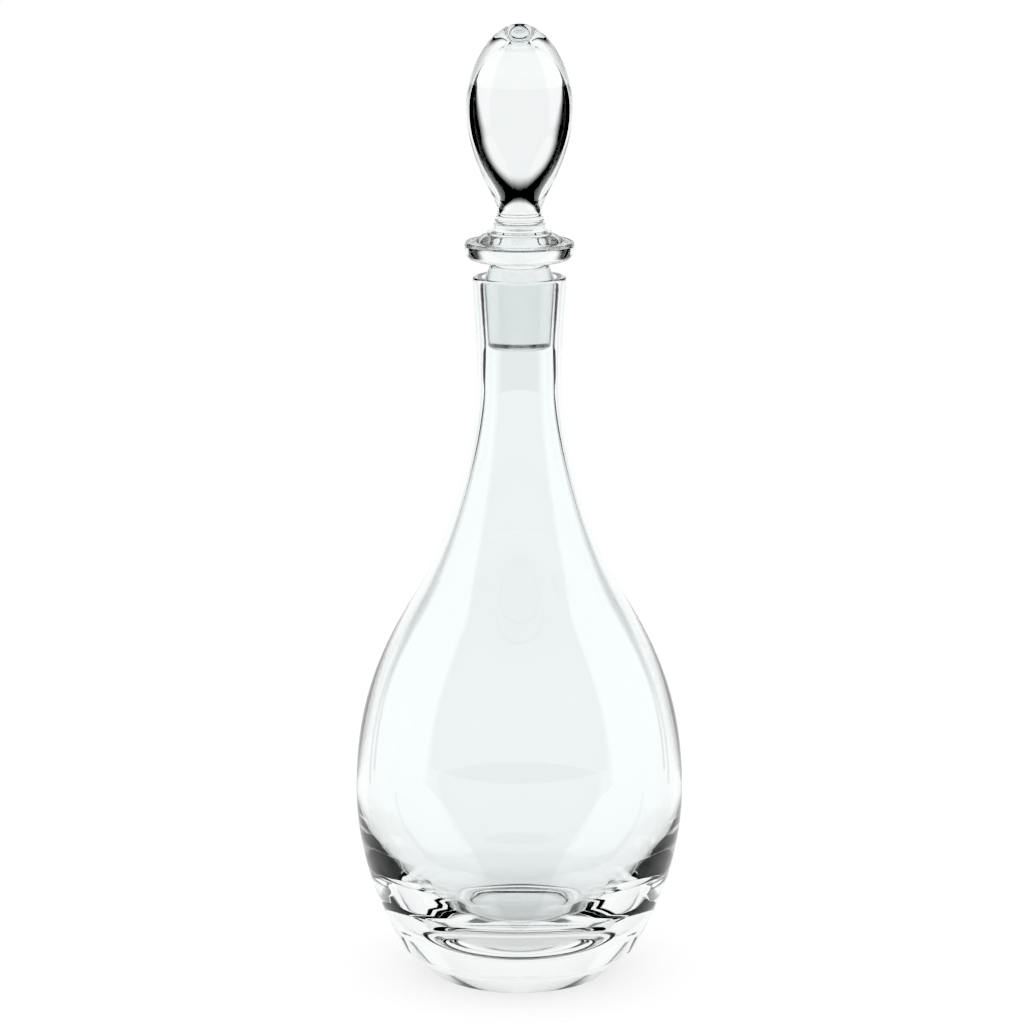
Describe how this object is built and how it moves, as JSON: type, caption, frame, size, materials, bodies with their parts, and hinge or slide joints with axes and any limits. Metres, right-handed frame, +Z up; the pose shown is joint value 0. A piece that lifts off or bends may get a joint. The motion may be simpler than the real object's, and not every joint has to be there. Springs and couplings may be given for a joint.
{
  "type": "wine decanter",
  "caption": "Clear glass wine decanter with a pear-shaped body, long flared neck, thick foot and a lift-out tapered stopper with an egg-shaped finial.",
  "frame": {"origin": "centre of the circle that the foot stands on", "axes": "+Z up along the decanter's axis, from the foot to the stopper; the decanter is round, so +X and +Y are alike"},
  "size_m": [0.1208, 0.1208, 0.352],
  "materials": {
    "bottle_glass": "clear fire-polished glass",
    "stopper_glass": "clear polished solid glass",
    "ground_glass": "finely ground, matte"
  },
  "bodies": {
    "bottle": {"bottle": "bottle_glass"},
    "stopper": {"stopper_plug": "ground_glass", "stopper_collar": "stopper_glass", "stopper_bead": "stopper_glass", "stopper_finial": "stopper_glass"}
  },
  "joints": [
    {"name": "stopper_lift", "type": "slide", "parent": "bottle", "child": "stopper", "axis": [0, 0, 1], "range_m": [0, 0.06]}
  ]
}
